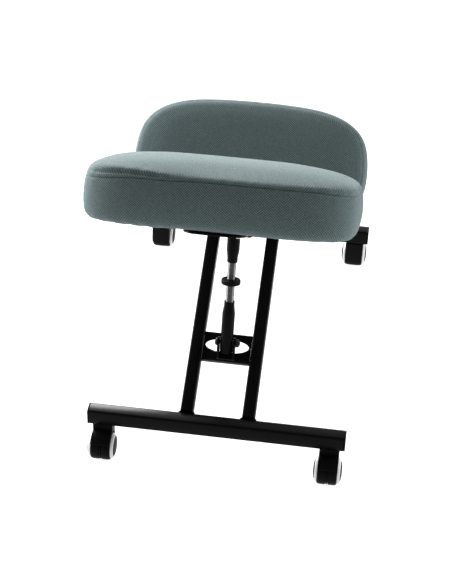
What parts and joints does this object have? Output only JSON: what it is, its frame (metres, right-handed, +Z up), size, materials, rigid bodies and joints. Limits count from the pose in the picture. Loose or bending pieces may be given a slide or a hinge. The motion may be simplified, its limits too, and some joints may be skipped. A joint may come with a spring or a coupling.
{
  "type": "kneeling chair",
  "caption": "Kneeling chair with a forward-sloping padded seat and a knee pad on crossed steel rails, set for height by a turnbuckle, on twin-wheel casters.",
  "frame": {"origin": "on the floor, under the middle of the chair's overall box", "axes": "+X to the sitter's right, +Y the way the sitter faces, +Z up"},
  "size_m": [0.4416, 0.7364, 0.6326],
  "materials": {
    "fabric": "matte weave",
    "board": "raw plywood",
    "white_plastic": "satin",
    "zinc": "zinc plated",
    "nylon": "natural",
    "black_plastic": "satin black",
    "frame_paint": "satin black powder coat"
  },
  "bodies": {
    "knee_frame": {"cross_plate": "frame_paint", "knee_board": "board", "knee_bracket": "frame_paint", "knee_cushion": "fabric", "knee_rail_cap_left": "black_plastic", "knee_rail_cap_right": "black_plastic", "knee_rail_left": "frame_paint", "knee_rail_right": "frame_paint", "lower_bolt": "zinc", "lower_clevis": "frame_paint", "lower_nut": "zinc", "pivot_bolt": "zinc", "pivot_nut": "zinc", "pivot_spacer": "nylon", "pivot_washer_left": "nylon", "pivot_washer_right": "nylon", "rear_bar": "frame_paint", "rear_bar_cap_left": "black_plastic", "rear_bar_cap_right": "black_plastic"},
    "seat_frame": {"front_bar": "frame_paint", "front_bar_cap_left": "black_plastic", "front_bar_cap_right": "black_plastic", "seat_board": "board", "seat_bracket": "frame_paint", "seat_cushion": "fabric", "seat_rail_left": "frame_paint", "seat_rail_right": "frame_paint", "upper_bolt": "zinc", "upper_nut": "zinc", "upper_spacer_left": "nylon", "upper_spacer_right": "nylon"},
    "lower_sleeve": {"lower_sleeve": "frame_paint"},
    "screw": {"screw_rod": "zinc"},
    "hand_wheel": {"hand_wheel": "black_plastic"},
    "upper_sleeve": {"upper_sleeve": "frame_paint"},
    "caster_rear_left": {"caster_hood_rear_left": "black_plastic", "caster_axle_rear_left": "zinc"},
    "wheel_rear_left_inner": {"caster_wheel_rear_left_inner": "black_plastic", "wheel_ring_rear_left_inner": "white_plastic"},
    "wheel_rear_left_outer": {"caster_wheel_rear_left_outer": "black_plastic", "wheel_ring_rear_left_outer": "white_plastic"},
    "caster_rear_right": {"caster_hood_rear_right": "black_plastic", "caster_axle_rear_right": "zinc"},
    "wheel_rear_right_inner": {"caster_wheel_rear_right_inner": "black_plastic", "wheel_ring_rear_right_inner": "white_plastic"},
    "wheel_rear_right_outer": {"caster_wheel_rear_right_outer": "black_plastic", "wheel_ring_rear_right_outer": "white_plastic"},
    "caster_front_left": {"caster_hood_front_left": "black_plastic", "caster_axle_front_left": "zinc"},
    "wheel_front_left_inner": {"caster_wheel_front_left_inner": "black_plastic", "wheel_ring_front_left_inner": "white_plastic"},
    "wheel_front_left_outer": {"caster_wheel_front_left_outer": "black_plastic", "wheel_ring_front_left_outer": "white_plastic"},
    "caster_front_right": {"caster_hood_front_right": "black_plastic", "caster_axle_front_right": "zinc"},
    "wheel_front_right_inner": {"caster_wheel_front_right_inner": "black_plastic", "wheel_ring_front_right_inner": "white_plastic"},
    "wheel_front_right_outer": {"caster_wheel_front_right_outer": "black_plastic", "wheel_ring_front_right_outer": "white_plastic"}
  },
  "joints": [
    {"name": "seat_tilt", "type": "hinge", "parent": "knee_frame", "child": "seat_frame", "pos_m": [0, 0.08064, 0.25727], "axis": [-1, 0, 0], "range_deg": [-7, 7]},
    {"name": "turnbuckle_swing", "type": "hinge", "parent": "knee_frame", "child": "lower_sleeve", "pos_m": [0, -0.14989, 0.17126], "axis": [-1, 0, 0], "range_deg": [-2.1, 2.1]},
    {"name": "screw_travel", "type": "slide", "parent": "lower_sleeve", "child": "screw", "axis": [0, 0.3117, 0.9502], "range_m": [-0.0119, 0.0119]},
    {"name": "hand_wheel_turn", "type": "hinge", "parent": "screw", "child": "hand_wheel", "pos_m": [0, -0.11498, 0.27768], "axis": [0, 0.3117, 0.9502], "continuous": true},
    {"name": "upper_sleeve_travel", "type": "slide", "parent": "screw", "child": "upper_sleeve", "axis": [0, 0.3117, 0.9502], "range_m": [-0.0119, 0.0119]},
    {"name": "swivel_rear_left", "type": "hinge", "parent": "knee_frame", "child": "caster_rear_left", "pos_m": [-0.195, -0.2668, 0.0657], "axis": [0, 0, 1], "continuous": true},
    {"name": "spin_rear_left_inner", "type": "hinge", "parent": "caster_rear_left", "child": "wheel_rear_left_inner", "pos_m": [-0.195, -0.2828, 0.025], "axis": [1, 0, 0], "continuous": true},
    {"name": "spin_rear_left_outer", "type": "hinge", "parent": "caster_rear_left", "child": "wheel_rear_left_outer", "pos_m": [-0.195, -0.2828, 0.025], "axis": [1, 0, 0], "continuous": true},
    {"name": "swivel_rear_right", "type": "hinge", "parent": "knee_frame", "child": "caster_rear_right", "pos_m": [0.195, -0.2668, 0.0657], "axis": [0, 0, 1], "continuous": true},
    {"name": "spin_rear_right_inner", "type": "hinge", "parent": "caster_rear_right", "child": "wheel_rear_right_inner", "pos_m": [0.195, -0.2828, 0.025], "axis": [1, 0, 0], "continuous": true},
    {"name": "spin_rear_right_outer", "type": "hinge", "parent": "caster_rear_right", "child": "wheel_rear_right_outer", "pos_m": [0.195, -0.2828, 0.025], "axis": [1, 0, 0], "continuous": true},
    {"name": "swivel_front_left", "type": "hinge", "parent": "seat_frame", "child": "caster_front_left", "pos_m": [-0.195, 0.3272, 0.0657], "axis": [0, 0, 1], "continuous": true},
    {"name": "spin_front_left_inner", "type": "hinge", "parent": "caster_front_left", "child": "wheel_front_left_inner", "pos_m": [-0.195, 0.3432, 0.025], "axis": [1, 0, 0], "continuous": true},
    {"name": "spin_front_left_outer", "type": "hinge", "parent": "caster_front_left", "child": "wheel_front_left_outer", "pos_m": [-0.195, 0.3432, 0.025], "axis": [1, 0, 0], "continuous": true},
    {"name": "swivel_front_right", "type": "hinge", "parent": "seat_frame", "child": "caster_front_right", "pos_m": [0.195, 0.3272, 0.0657], "axis": [0, 0, 1], "continuous": true},
    {"name": "spin_front_right_inner", "type": "hinge", "parent": "caster_front_right", "child": "wheel_front_right_inner", "pos_m": [0.195, 0.3432, 0.025], "axis": [1, 0, 0], "continuous": true},
    {"name": "spin_front_right_outer", "type": "hinge", "parent": "caster_front_right", "child": "wheel_front_right_outer", "pos_m": [0.195, 0.3432, 0.025], "axis": [1, 0, 0], "continuous": true}
  ],
  "couplings": [
    {"joint": "turnbuckle_swing", "follows": "seat_tilt", "ratio": 0.26468},
    {"joint": "screw_travel", "follows": "seat_tilt", "m_per_rad": 0.09602},
    {"joint": "upper_sleeve_travel", "follows": "seat_tilt", "m_per_rad": 0.09602}
  ]
}
